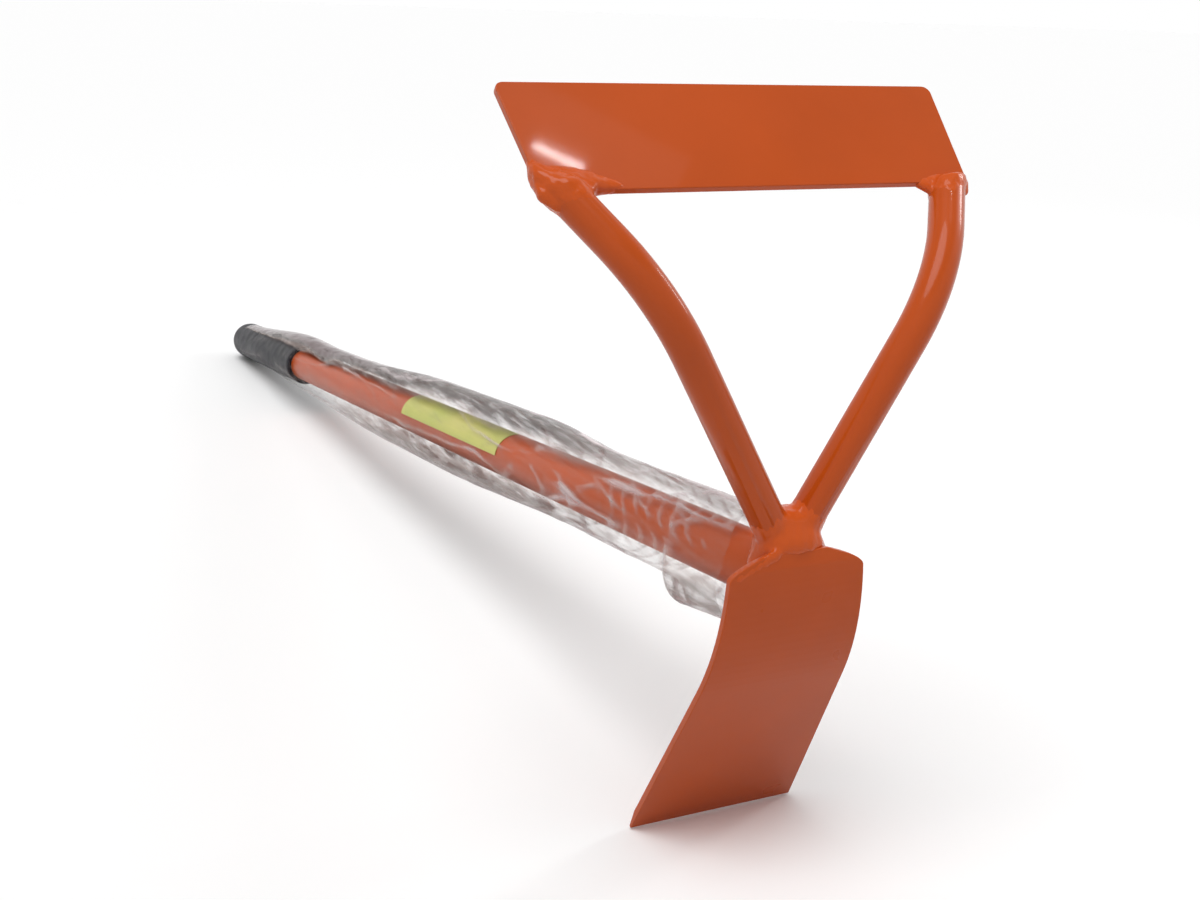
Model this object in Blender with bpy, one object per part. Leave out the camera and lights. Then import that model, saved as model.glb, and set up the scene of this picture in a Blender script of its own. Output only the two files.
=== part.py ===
"""A two-headed planting hoe: a narrow curved blade below, a wide straight blade on a fork of two
bent rods above, a steel tube handle with a rubber grip, a bare sticker and a clear film sleeve.

It is drawn in the tool's own frame and then stood on the floor on the narrow blade's lower edge
and the grip's far end. In the tool's frame the handle's axis is +Y, running away from the head,
+Z is up towards the wide blade and +X is across the blades. y = 0 is the middle of the narrow
blade's plate where its bend starts, just under its top.
"""
import math

import bmesh
import bpy
from mathutils import Matrix, Vector

MM = 0.001
GAP = 0.3 * MM

# Steel stock
PLATE_THICKNESS = 3.0 * MM
TUBE_RADIUS = 12.7 * MM
TUBE_WALL = 2.0 * MM
ROD_RADIUS = 7.2 * MM

# Narrow blade: a low crown between two shoulders, a bend that starts just under it, and a flat that
# runs back to the lower edge
BLADE_TOP_Z = 8.0 * MM
BLADE_TOP_WIDTH = 60.0 * MM
BLADE_EDGE_WIDTH = 80.0 * MM
BLADE_TOP_TILT = math.radians(2.5)
BLADE_BEND = math.radians(31.5)
BLADE_BEND_LENGTH = 58.0 * MM
BLADE_FLAT_LENGTH = 89.0 * MM
BLADE_CROWN_RISE = 4.3 * MM
BLADE_CROWN_HALF_WIDTH = 13.0 * MM
BLADE_SHOULDER_DEPTH = 8.8 * MM
BLADE_SHOULDER_POWER = 1.75
EDGE_GRIND_LENGTH = 9.0 * MM
EDGE_THICKNESS = 1.4 * MM

# Wide blade: a flat plate that leans back towards the handle
WIDE_EDGE_Y = 22.7 * MM
WIDE_EDGE_Z = 149.0 * MM
WIDE_LEAN = math.radians(40.0)
WIDE_HEIGHT = 51.5 * MM
WIDE_LOWER_WIDTH = 188.0 * MM
WIDE_UPPER_WIDTH = 197.0 * MM
WIDE_CORNER_RADIUS = 4.0 * MM

# Fork: both rods start on the symmetry plane, rise and spread, then bend back to the wide blade
FORK_ROOT_DROP = 4.1 * MM
FORK_BEND_HALF_SPAN = 61.0 * MM
FORK_BEND_Y = -6.8 * MM
FORK_BEND_Z = 113.5 * MM
FORK_BEND_RADIUS = 70.0 * MM
FORK_TOP_INSET = 9.3 * MM

# Welds. The root weld starts where the blade weld ends, a little under the blade's top edge
FILLET_LEG = 5.0 * MM
FILLET_CROWN = 0.62
WELD_SPLIT_DROP = 2.0 * MM
ROOT_WELD_HEIGHT = 19.0 * MM
ROOT_WELD_BASE_HALF = 22.0 * MM
ROOT_WELD_NECK_HALF = 12.5 * MM
ROOT_WELD_FRONT = 1.0 * MM
ROOT_WELD_REAR = 2.0 * MM
ROOT_WELD_CAP_SHARE = 0.3
ROOT_WELD_FLARE_POWER = 3
ROOT_WELD_CORNER_POWER = 0.8
ROOT_WELD_TIP_SHARE = 0.2
LEFT_BEAD_SIDE_WALL = 2.1 * MM
LEFT_BEAD_FACE_WALL = 1.8 * MM
LEFT_BEAD_HALF_HEIGHT = 9.0 * MM
LEFT_BEAD_INWARD = 5.0 * MM
RIGHT_BEAD_SIDE_WALL = 1.1 * MM
RIGHT_BEAD_FACE_WALL = 1.6 * MM
RIGHT_BEAD_HALF_HEIGHT = 8.0 * MM
RIGHT_BEAD_INWARD = 2.0 * MM
BEAD_LIFT = 2.5 * MM
BEAD_RIPPLE = 0.05

# Handle, grip and sticker, all measured along the handle from the narrow blade
HANDLE_LENGTH = 966.0 * MM
GRIP_COVER = 221.0 * MM
GRIP_THICKNESS = 3.2 * MM
GRIP_END_WALL = 6.0 * MM
GRIP_DOME_LENGTH = 15.0 * MM
GRIP_DOME_POWER = 0.75
GRIP_LIP_RADIUS = 1.5 * MM
LABEL_START = 285.0 * MM
LABEL_LENGTH = 166.0 * MM
LABEL_WIDTH = 20.0 * MM
LABEL_THICKNESS = 0.25 * MM
LABEL_ANGLE = math.radians(35.0)

# Film sleeve: a flattened tube of film with a crease above and below the handle. Each crease stands
# off the handle's axis by its reach, is fuller along one stretch and closes in over the grip
FILM_THICKNESS = 0.5 * MM
FILM_START = 34.0 * MM
FILM_GRIP_OVERLAP = 195.0 * MM
FILM_TAPER = 95.0 * MM
FILM_CREASE_TURN = math.radians(18.0)
FILM_CREASE_SHARPNESS = 3.0
FILM_UPPER_REACH = 22.0 * MM
FILM_UPPER_FULLNESS = 5.0 * MM
FILM_UPPER_FULL_FROM = 150.0 * MM
FILM_UPPER_RISE = 110.0 * MM
FILM_UPPER_FULL_TO = 590.0 * MM
FILM_UPPER_FALL = 180.0 * MM
FILM_UPPER_CLOSING = 200.0 * MM
FILM_PUCKER = 2.0 * MM
FILM_PUCKER_LENGTH = 85.0 * MM
FILM_LOWER_REACH = 20.0 * MM
FILM_LOWER_FULLNESS = 5.0 * MM
FILM_LOWER_FULL_FROM = 180.0 * MM
FILM_LOWER_RISE = 200.0 * MM
FILM_LOWER_FULL_TO = 760.0 * MM
FILM_LOWER_FALL = 260.0 * MM
FILM_LOWER_CLOSING = 100.0 * MM

# The lower crease hangs down as a flap at the film's mouth, deepest at its far corner
FILM_FLAP_END = 88.0 * MM
FILM_FLAP_CORNER = 13.0 * MM
FILM_FLAP_MOUTH_DROP = 6.0 * MM
FILM_FLAP_CORNER_DROP = 9.5 * MM

# Facets
ROUND_SIDES = 40
ROD_SIDES = 20
FILM_SIDES = 36
FILM_FLAP_STEPS = 3
FILM_CORNER_STEPS = 4
FILM_STEPS = 30

PAINT = (0.62, 0.145, 0.035, 1.0)
RUBBER = (0.035, 0.035, 0.042, 1.0)
STICKER = (0.72, 0.68, 0.12, 1.0)
FILM = (0.72, 0.72, 0.72, 1.0)


def clear_scene():
    for item in list(bpy.data.objects):
        bpy.data.objects.remove(item, do_unlink=True)


def make_material(name, colour, roughness, metallic=0.0):
    material = bpy.data.materials.new(name)
    material.use_nodes = True
    shader = material.node_tree.nodes["Principled BSDF"]
    shader.inputs["Base Color"].default_value = colour
    shader.inputs["Roughness"].default_value = roughness
    shader.inputs["Metallic"].default_value = metallic
    return material


def add_piece(name, bm, root, material, smooth_angle=math.radians(35.0)):
    """Turn a finished bmesh into a named object under the tool's frame."""
    bmesh.ops.recalc_face_normals(bm, faces=bm.faces)
    mesh = bpy.data.meshes.new(name)
    bm.to_mesh(mesh)
    bm.free()
    mesh.materials.append(material)
    mesh.shade_smooth()
    mesh.set_sharp_from_angle(angle=smooth_angle)
    piece = bpy.data.objects.new(name, mesh)
    piece.parent = root
    bpy.context.collection.objects.link(piece)
    return piece


def add_cutter(name, bm, root):
    """A hidden helper that other pieces are cut by."""
    bmesh.ops.recalc_face_normals(bm, faces=bm.faces)
    mesh = bpy.data.meshes.new(name)
    bm.to_mesh(mesh)
    bm.free()
    cutter = bpy.data.objects.new(name, mesh)
    cutter.parent = root
    cutter.hide_render = True
    cutter.display_type = "WIRE"
    bpy.context.collection.objects.link(cutter)
    return cutter


def cut(piece, cutter):
    modifier = piece.modifiers.new("cut by " + cutter.name, "BOOLEAN")
    modifier.operation = "DIFFERENCE"
    modifier.solver = "EXACT"
    modifier.object = cutter


def loft(rings, closed=False, pointed=None):
    """Skin equally long rings with quads, then cap the ends, end in a point or close the loop."""
    bm = bmesh.new()
    loops = [[bm.verts.new(point) for point in ring] for ring in rings]
    pairs = list(zip(loops, loops[1:]))
    if closed:
        pairs.append((loops[-1], loops[0]))
    for first, second in pairs:
        for i in range(len(first)):
            j = (i + 1) % len(first)
            bm.faces.new((first[i], first[j], second[j], second[i]))
    if closed:
        return bm
    bm.faces.new(list(reversed(loops[0])))
    if pointed is None:
        bm.faces.new(loops[-1])
        return bm
    tip = bm.verts.new((0.0, pointed, 0.0))
    for i, corner in enumerate(loops[-1]):
        bm.faces.new((corner, loops[-1][(i + 1) % len(loops[-1])], tip))
    return bm


def bisect(bm, point, outward):
    """Cut a solid by a plane, throw away the side that outward points to and close the cut."""
    geometry = list(bm.verts) + list(bm.edges) + list(bm.faces)
    result = bmesh.ops.bisect_plane(bm, geom=geometry, plane_co=point, plane_no=outward, clear_outer=True)
    cut_edges = [item for item in result["geom_cut"] if isinstance(item, bmesh.types.BMEdge)]
    bmesh.ops.contextual_create(bm, geom=cut_edges)


def frange(start, end, steps):
    return [start + (end - start) * i / steps for i in range(steps + 1)]


def smooth_step(value):
    t = min(max(value, 0.0), 1.0)
    return t * t * (3.0 - 2.0 * t)


def corner_inset(distance, radius):
    """How far a rounded corner stands in from the side, at a distance from the end."""
    if distance >= radius:
        return 0.0
    return radius - math.sqrt(radius * radius - (radius - distance) ** 2)


def corner_stations(radius, steps=6):
    """Distances from the end that follow a rounded corner evenly."""
    return [radius * (1.0 - math.cos(0.5 * math.pi * i / steps)) for i in range(steps + 1)]


# Narrow blade

def blade_angle(s):
    """Sweep of the narrow blade's plate from straight down, at a length s below its bend's start."""
    return BLADE_TOP_TILT + BLADE_BEND * min(max(s / BLADE_BEND_LENGTH, 0.0), 1.0)


def blade_middle(s):
    """Point of the plate's middle surface in the side view. Above the bend it runs on straight."""
    bend_radius = BLADE_BEND_LENGTH / BLADE_BEND
    bent = min(max(s, 0.0), BLADE_BEND_LENGTH)
    angle = blade_angle(bent)
    straight = s - bent
    y = bend_radius * (math.cos(BLADE_TOP_TILT) - math.cos(angle)) + straight * math.sin(angle)
    z = BLADE_TOP_Z - bend_radius * (math.sin(angle) - math.sin(BLADE_TOP_TILT)) - straight * math.cos(angle)
    return y, z


def blade_side_point(s, offset):
    """A point of the side view at an offset from the middle surface, positive towards the handle."""
    y, z = blade_middle(s)
    angle = blade_angle(s)
    return y + offset * math.cos(angle), z + offset * math.sin(angle)


def blade_length():
    return BLADE_BEND_LENGTH + BLADE_FLAT_LENGTH


def blade_half_width(s):
    share = s / blade_length()
    width = BLADE_TOP_WIDTH + (BLADE_EDGE_WIDTH - BLADE_TOP_WIDTH) * share
    return 0.5 * width


def blade_back_y(z):
    """Where the blade's back face lies at a height z, for what is fitted against it."""
    low, high = -TUBE_RADIUS * 4.0, blade_length()
    for _ in range(50):
        middle = 0.5 * (low + high)
        if blade_side_point(middle, 0.5 * PLATE_THICKNESS)[1] > z:
            low = middle
        else:
            high = middle
    return blade_side_point(0.5 * (low + high), 0.5 * PLATE_THICKNESS)[0]


def blade_edge_corner():
    """The front corner of the lower edge, which touches the floor."""
    return blade_side_point(blade_length(), -0.5 * PLATE_THICKNESS)


def shoulder_share(s):
    """Nought at the crown's top, one where the shoulders run into the plate's sides."""
    return min((s + BLADE_CROWN_RISE) / BLADE_SHOULDER_DEPTH, 1.0)


def shoulder_inset(s):
    """How far the shoulders stand in from the plate's sides at s."""
    return (blade_half_width(s) - BLADE_CROWN_HALF_WIDTH) * (1.0 - shoulder_share(s)) ** BLADE_SHOULDER_POWER


def narrow_blade(clearance=0.0):
    """The blade's plate. With a clearance it is the same plate grown on every side."""
    length = blade_length()
    half = 0.5 * PLATE_THICKNESS
    shoulder_end = BLADE_SHOULDER_DEPTH - BLADE_CROWN_RISE
    stations = frange(-BLADE_CROWN_RISE, shoulder_end, 8)
    stations += frange(shoulder_end, BLADE_BEND_LENGTH, 14)[1:]
    stations += [length - EDGE_GRIND_LENGTH, length]
    rings = []
    for s in stations:
        width = blade_half_width(s) - shoulder_inset(s) + clearance
        ground = max(s - (length - EDGE_GRIND_LENGTH), 0.0) / EDGE_GRIND_LENGTH
        back = half - (PLATE_THICKNESS - EDGE_THICKNESS) * ground
        along = clearance if s == length else -clearance * (1.0 - shoulder_share(s))
        front_y, front_z = blade_side_point(s + along, -half - clearance)
        back_y, back_z = blade_side_point(s + along, back + clearance)
        rings.append([
            (-width, front_y, front_z),
            (width, front_y, front_z),
            (width, back_y, back_z),
            (-width, back_y, back_z),
        ])
    return loft(rings)


# Wide blade

def wide_point(x, up, offset):
    """A point on the wide blade: across, up its face from the lower edge, and off its middle plane."""
    sine, cosine = math.sin(WIDE_LEAN), math.cos(WIDE_LEAN)
    y = WIDE_EDGE_Y + up * sine + offset * cosine
    z = WIDE_EDGE_Z + up * cosine - offset * sine
    return Vector((x, y, z))


def wide_up():
    return Vector((0.0, math.sin(WIDE_LEAN), math.cos(WIDE_LEAN)))


def wide_blade(clearance=0.0):
    half = 0.5 * PLATE_THICKNESS + clearance
    from_top = list(reversed(corner_stations(WIDE_CORNER_RADIUS)))
    stations = [0.0] + [WIDE_HEIGHT - distance for distance in from_top]
    rings = []
    for up in stations:
        share = up / WIDE_HEIGHT
        width = 0.5 * (WIDE_LOWER_WIDTH + (WIDE_UPPER_WIDTH - WIDE_LOWER_WIDTH) * share)
        width += clearance - corner_inset(WIDE_HEIGHT - up, WIDE_CORNER_RADIUS)
        along = up - clearance if up == 0.0 else up
        along = along + clearance if up == WIDE_HEIGHT else along
        rings.append([
            wide_point(-width, along, -half),
            wide_point(width, along, -half),
            wide_point(width, along, half),
            wide_point(-width, along, half),
        ])
    return loft(rings)


# Fork

def fork_root():
    """Where the rods' centre lines would meet, just behind the narrow blade's back face."""
    return Vector((0.0, 0.5 * PLATE_THICKNESS + GAP + ROD_RADIUS + GAP, TUBE_RADIUS - FORK_ROOT_DROP))


def fork_bend(side):
    return Vector((side * FORK_BEND_HALF_SPAN, FORK_BEND_Y, FORK_BEND_Z))


def fork_top(side):
    """The middle of the rod's upper end, on the wide blade's lower edge."""
    return wide_point(side * (0.5 * WIDE_LOWER_WIDTH - FORK_TOP_INSET), 0.0, 0.0)


def rod_path(side, overrun):
    """Centre line of one rod: straight, a bend, straight. The overrun lengthens its upper end."""
    root, bend, top = fork_root(), fork_bend(side), fork_top(side)
    down = (root - bend).normalized()
    up = (top - bend).normalized()
    half_turn = 0.5 * (math.pi - down.angle(up))
    setback = FORK_BEND_RADIUS * math.tan(half_turn)
    centre = bend + (down + up).normalized() * (FORK_BEND_RADIUS / math.cos(half_turn))
    start = bend + down * setback
    axis = (start - centre).cross(bend + up * setback - centre).normalized()
    points = [root, root.lerp(start, 0.5)]
    steps = 12
    for i in range(steps + 1):
        turn = Matrix.Rotation(2.0 * half_turn * i / steps, 3, axis)
        points.append(centre + turn @ (start - centre))
    points.append(top + up * overrun)
    return points


def sweep(points, radius, sides):
    """A round bar along a centre line, its rings kept from twisting."""
    rings = []
    normal = Vector((0.0, 1.0, 0.0))
    for i, point in enumerate(points):
        before = points[max(i - 1, 0)]
        after = points[min(i + 1, len(points) - 1)]
        along = (after - before).normalized()
        normal = (normal - along * normal.dot(along)).normalized()
        across = along.cross(normal)
        ring = []
        for k in range(sides):
            angle = 2.0 * math.pi * k / sides
            ring.append(point + radius * (math.cos(angle) * normal + math.sin(angle) * across))
        rings.append(ring)
    return loft(rings)


def fork_rod(side):
    """One rod, cut square to the wide blade's lower edge and along the symmetry plane."""
    bm = sweep(rod_path(side, 2.0 * ROD_RADIUS), ROD_RADIUS, ROD_SIDES)
    bisect(bm, wide_point(0.0, -GAP, 0.0), wide_up())
    bisect(bm, Vector((side * 0.5 * GAP, 0.0, 0.0)), Vector((-side, 0.0, 0.0)))
    return bm


def grown_rod(side):
    """The rod with its clearance, which the welds are cut by."""
    bm = sweep(rod_path(side, 2.0 * ROD_RADIUS), ROD_RADIUS + GAP, ROD_SIDES)
    bisect(bm, wide_point(0.0, 0.0, 0.0), wide_up())
    return bm


# Handle

def ring_points(radius, y_of_z, sides=ROUND_SIDES):
    ring = []
    for k in range(sides):
        angle = 2.0 * math.pi * k / sides
        z = -radius * math.cos(angle)
        ring.append((radius * math.sin(angle), y_of_z(z), z))
    return ring


def handle_tube():
    """A hollow tube whose front end follows the narrow blade's back face."""
    inner = TUBE_RADIUS - TUBE_WALL

    def front(z):
        return blade_back_y(z) + GAP

    def back(_):
        return HANDLE_LENGTH

    rings = [
        ring_points(TUBE_RADIUS, front),
        ring_points(TUBE_RADIUS, back),
        ring_points(inner, back),
        ring_points(inner, front),
    ]
    return loft(rings, closed=True)


def tube_front_y():
    """Where weld metal may start to pass in front of the tube's end, over the blade's top edge."""
    return blade_back_y(TUBE_RADIUS)


def solid_bar(radius, start, end):
    return loft([ring_points(radius, lambda z: start), ring_points(radius, lambda z: end)])


def grip_radius():
    return TUBE_RADIUS + GAP + GRIP_THICKNESS


def grip_start():
    return HANDLE_LENGTH - GRIP_COVER


def grip_tip():
    return HANDLE_LENGTH + GRIP_END_WALL


def grip_outline():
    """The grip's outer profile as (y, radius), from its front lip to its far tip."""
    radius = grip_radius()
    lip = min(GRIP_LIP_RADIUS, 0.5 * GRIP_THICKNESS)
    outline = []
    for angle in frange(0.5 * math.pi, 0.0, 4):
        y = grip_start() + lip * (1.0 - math.sin(angle))
        outline.append((y, radius - lip * (1.0 - math.cos(angle))))
    for angle in frange(0.0, 0.5 * math.pi, 10)[:-1]:
        y = grip_tip() - GRIP_DOME_LENGTH * (1.0 - math.sin(angle))
        outline.append((y, radius * math.cos(angle) ** GRIP_DOME_POWER))
    outline.append((grip_tip(), 0.0))
    return outline


def hand_grip():
    """A closed-ended rubber sleeve over the tube."""
    bore = TUBE_RADIUS + GAP
    profile = [(HANDLE_LENGTH + GAP, bore), (grip_start(), bore)] + grip_outline()[:-1]
    return loft([ring_points(radius, lambda z, y=y: y) for y, radius in profile], pointed=grip_tip())


def label_strip():
    """A bare sticker bent round the tube, on its upper left side."""
    inner = TUBE_RADIUS + GAP
    outer = inner + LABEL_THICKNESS
    half_arc = 0.5 * LABEL_WIDTH / inner
    steps = 8
    angles = frange(LABEL_ANGLE - half_arc, LABEL_ANGLE + half_arc, steps)
    rings = []
    for y in (LABEL_START, LABEL_START + LABEL_LENGTH):
        ring = [(-outer * math.sin(a), y, outer * math.cos(a)) for a in angles]
        ring += [(-inner * math.sin(a), y, inner * math.cos(a)) for a in reversed(angles)]
        rings.append(ring)
    return loft(rings)


# Welds

def blade_weld():
    """A fillet round the tube's lower side, where it meets the narrow blade's back face."""
    inner = TUBE_RADIUS + GAP
    outer = inner + FILLET_LEG
    top_z = BLADE_TOP_Z - WELD_SPLIT_DROP - 0.5 * GAP
    first = math.acos(top_z / outer)
    rings = []
    for i, angle in enumerate(frange(first, 2.0 * math.pi - first, 36)):
        leg = FILLET_LEG * (1.0 + BEAD_RIPPLE * math.sin(3.0 * i))
        crown = FILLET_CROWN * leg
        ring = []
        for out, height in ((0.0, 0.0), (leg, 0.0), (crown, crown), (0.0, leg)):
            z = (inner + out) * math.cos(angle)
            ring.append(((inner + out) * math.sin(angle), blade_back_y(z) + GAP + height, z))
        rings.append(ring)
    return loft(rings)


def weld_lump(centre, size, rotation, phase):
    """A rounded, slightly rippled lump of weld metal."""
    bm = bmesh.new()
    bmesh.ops.create_icosphere(bm, subdivisions=3, radius=1.0)
    for vert in bm.verts:
        x, y, z = vert.co
        ripple = math.sin(7.0 * x + phase) * math.cos(5.0 * y - phase) + 0.6 * math.sin(6.0 * z + 4.0 * x)
        scale = 1.0 + BEAD_RIPPLE * ripple
        vert.co = centre + rotation @ Vector((x * size.x, y * size.y, z * size.z)) * scale
    return bm


def root_weld_ring(share, sides=32):
    """One level of the root weld: a wide foot on the blade's top edge under a narrow neck."""
    half_plate = 0.5 * PLATE_THICKNESS
    z = BLADE_TOP_Z - WELD_SPLIT_DROP + 0.5 * GAP + ROOT_WELD_HEIGHT * share
    rounding = min(max((share - 1.0) / ROOT_WELD_CAP_SHARE + 1.0, 0.0), 1.0)
    cap = max(math.sqrt(1.0 - rounding ** 2), ROOT_WELD_TIP_SHARE)
    flare = (1.0 - share) ** ROOT_WELD_FLARE_POWER
    half_width = (ROOT_WELD_NECK_HALF + (ROOT_WELD_BASE_HALF - ROOT_WELD_NECK_HALF) * flare) * cap
    front = -half_plate - ROOT_WELD_FRONT * math.sin(math.pi * min(2.0 * share, 1.0))
    rear = fork_root().y + ROD_RADIUS + ROOT_WELD_REAR
    middle = 0.5 * (front + rear)
    half_depth = 0.5 * (rear - front) * cap
    ring = []
    for k in range(sides):
        angle = 2.0 * math.pi * k / sides
        ripple = 1.0 + BEAD_RIPPLE * math.sin(5.0 * angle + 9.0 * share)
        across = math.copysign(abs(math.sin(angle)) ** ROOT_WELD_CORNER_POWER, math.sin(angle))
        along = math.copysign(abs(math.cos(angle)) ** ROOT_WELD_CORNER_POWER, math.cos(angle))
        ring.append((half_width * ripple * across, middle + half_depth * ripple * along, z))
    return ring


def root_weld():
    """Weld metal round the rods' feet, on the tube's end and the narrow blade's top edge."""
    return loft([root_weld_ring(share) for share in frange(0.0, 1.0, 14)])


def bead(side, side_wall, face_wall, half_height, inward, phase):
    """Weld metal round one rod's upper end and the wide blade's lower edge.

    The rod meets the edge at a slant, so its room along the edge is wider than the rod is thick.
    """
    centre = fork_top(side) - Vector((side * inward, 0.0, 0.0)) + BEAD_LIFT * wide_up()
    rod_room = ROD_RADIUS + GAP
    slant = (fork_top(side) - fork_bend(side)).angle(wide_up())
    half_width = rod_room / math.cos(slant) + side_wall + inward
    size = Vector((half_width, rod_room + face_wall, half_height))
    return weld_lump(centre, size, Matrix.Rotation(-WIDE_LEAN, 3, "X"), phase)


# Film sleeve

def film_end():
    return grip_start() + FILM_GRIP_OVERLAP


def film_grip_side():
    return grip_radius() + GAP


def fullness(y, start, rise, end, fall):
    """One along a full stretch of film, easing to nought before and after it."""
    return smooth_step((y - start) / rise) * smooth_step((end - y) / fall)


def closed_in(reach, y, length):
    """A crease's reach as it closes in on the grip along a length of it."""
    closing = smooth_step((y - grip_start()) / length)
    return reach + (film_grip_side() - reach) * closing


def upper_crease(y):
    """How far the upper crease stands off the axis at y. It puckers up just before the grip."""
    full = fullness(y, FILM_UPPER_FULL_FROM, FILM_UPPER_RISE, FILM_UPPER_FULL_TO, FILM_UPPER_FALL)
    pucker = smooth_step((y - (grip_start() - FILM_PUCKER_LENGTH)) / FILM_PUCKER_LENGTH)
    reach = FILM_UPPER_REACH + FILM_UPPER_FULLNESS * full + FILM_PUCKER * pucker
    return closed_in(reach, y, FILM_UPPER_CLOSING)


def flap_drop(y):
    along = (y - FILM_START) / (FILM_FLAP_END - FILM_START)
    drop = FILM_FLAP_MOUTH_DROP + (FILM_FLAP_CORNER_DROP - FILM_FLAP_MOUTH_DROP) * along
    return drop * smooth_step((FILM_FLAP_END - y) / FILM_FLAP_CORNER)


def lower_crease(y):
    full = fullness(y, FILM_LOWER_FULL_FROM, FILM_LOWER_RISE, FILM_LOWER_FULL_TO, FILM_LOWER_FALL)
    reach = FILM_LOWER_REACH + FILM_LOWER_FULLNESS * full + flap_drop(y)
    return closed_in(reach, y, FILM_LOWER_CLOSING)


def film_section(y):
    """Half sizes of the sleeve's inside at y: its flat side, upper crease and lower crease."""
    tube_side = TUBE_RADIUS + GAP + LABEL_THICKNESS + GAP
    near_grip = smooth_step((y - (grip_start() - FILM_TAPER)) / FILM_TAPER)
    flat = tube_side + (film_grip_side() - tube_side) * near_grip
    return flat, max(upper_crease(y), flat), max(lower_crease(y), flat)


def film_ring(y, grow):
    flat, upper, lower = film_section(y)
    ring = []
    for k in range(FILM_SIDES):
        angle = 2.0 * math.pi * k / FILM_SIDES
        reach = upper if math.cos(angle) > 0.0 else lower
        radius = flat + (reach - flat) * abs(math.cos(angle)) ** FILM_CREASE_SHARPNESS + grow
        turned = angle + FILM_CREASE_TURN
        ring.append((radius * math.sin(turned), y, radius * math.cos(turned)))
    return ring


def film_stations():
    """Places of the sleeve's rings: close together round the flap's far corner, then evenly spaced."""
    corner = FILM_FLAP_END - FILM_FLAP_CORNER
    stations = frange(FILM_START, corner, FILM_FLAP_STEPS)
    stations += frange(corner, FILM_FLAP_END, FILM_CORNER_STEPS)[1:]
    return stations + frange(FILM_FLAP_END, film_end(), FILM_STEPS)[1:]


def film_sleeve():
    """The packaging film as one thin shell, open at both ends."""
    stations = film_stations()
    outer = [film_ring(y, FILM_THICKNESS) for y in stations]
    inner = [film_ring(y, 0.0) for y in reversed(stations)]
    return loft(outer + inner, closed=True)


# Standing

def standing_tilt():
    """The handle's slope when the blade's edge and the grip's far end both touch the floor."""
    edge_y, edge_z = blade_edge_corner()
    slopes = [(-radius - edge_z) / (y - edge_y) for y, radius in grip_outline()]
    return math.atan(min(slopes))


def stand_on_floor(root, pieces):
    """Put the base on z = 0 and the middle of the box on the origin."""
    bpy.context.view_layer.update()
    graph = bpy.context.evaluated_depsgraph_get()
    corners = []
    for piece in pieces:
        evaluated = piece.evaluated_get(graph)
        corners += [evaluated.matrix_world @ vert.co for vert in evaluated.data.vertices]
    low = Vector([min(corner[i] for corner in corners) for i in range(3)])
    high = Vector([max(corner[i] for corner in corners) for i in range(3)])
    root.location = Vector((-0.5 * (low.x + high.x), -0.5 * (low.y + high.y), -low.z))
    bpy.context.view_layer.update()


def main():
    clear_scene()
    root = bpy.data.objects.new("tool_frame", None)
    bpy.context.collection.objects.link(root)
    root.rotation_euler = (-standing_tilt(), 0.0, 0.0)

    paint = make_material("orange_paint", PAINT, 0.35)
    weld = make_material("painted_weld", PAINT, 0.42)
    rubber = make_material("black_rubber", RUBBER, 0.55)
    sticker = make_material("yellow_sticker", STICKER, 0.4)
    film = make_material("clear_film", FILM, 0.15)

    rod_cutters = []
    for name, side in (("left", -1), ("right", 1)):
        rod_cutters.append(add_cutter("rod_room_" + name, grown_rod(side), root))
    tube_reach = 4.0 * TUBE_RADIUS
    tube_cutter = add_cutter("tube_room", solid_bar(TUBE_RADIUS + GAP, -tube_reach, tube_reach), root)
    tube_end_bar = solid_bar(TUBE_RADIUS + GAP, tube_front_y(), tube_reach)
    tube_end_cutter = add_cutter("tube_end_room", tube_end_bar, root)
    blade_cutter = add_cutter("narrow_blade_room", narrow_blade(GAP), root)
    wide_cutter = add_cutter("wide_blade_room", wide_blade(GAP), root)

    pieces = [
        add_piece("narrow_blade", narrow_blade(), root, paint),
        add_piece("wide_blade", wide_blade(), root, paint),
        add_piece("handle_tube", handle_tube(), root, paint),
        add_piece("hand_grip", hand_grip(), root, rubber),
        add_piece("label_strip", label_strip(), root, sticker),
        add_piece("film_sleeve", film_sleeve(), root, film),
        add_piece("blade_weld", blade_weld(), root, weld),
    ]
    for name, side in (("left_fork_rod", -1), ("right_fork_rod", 1)):
        rod = add_piece(name, fork_rod(side), root, paint)
        cut(rod, tube_cutter)
        cut(rod, blade_cutter)
        pieces.append(rod)

    root_lump = add_piece("root_weld", root_weld(), root, weld)
    for cutter in [tube_end_cutter, blade_cutter] + rod_cutters:
        cut(root_lump, cutter)
    pieces.append(root_lump)

    left_lump = bead(
        -1, LEFT_BEAD_SIDE_WALL, LEFT_BEAD_FACE_WALL, LEFT_BEAD_HALF_HEIGHT, LEFT_BEAD_INWARD, 1.1
    )
    right_lump = bead(
        1, RIGHT_BEAD_SIDE_WALL, RIGHT_BEAD_FACE_WALL, RIGHT_BEAD_HALF_HEIGHT, RIGHT_BEAD_INWARD, 2.3
    )
    left = add_piece("left_blade_weld", left_lump, root, weld)
    right = add_piece("right_blade_weld", right_lump, root, weld)
    for lump, cutter in ((left, rod_cutters[0]), (right, rod_cutters[1])):
        cut(lump, cutter)
        cut(lump, wide_cutter)
        pieces.append(lump)

    stand_on_floor(root, pieces)


main()
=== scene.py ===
"""The looks of a two-headed planting hoe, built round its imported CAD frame.

Lengths are in metres. The tool's own frame has +Y along the handle away from the blades, +Z up
towards the wide blade and +X across, with y = 0 at the narrow blade's top edge. TOOL places it
in the row frame.
"""

import math

import bmesh
import bpy
import numpy as np
from mathutils import Matrix, Vector, noise


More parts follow.
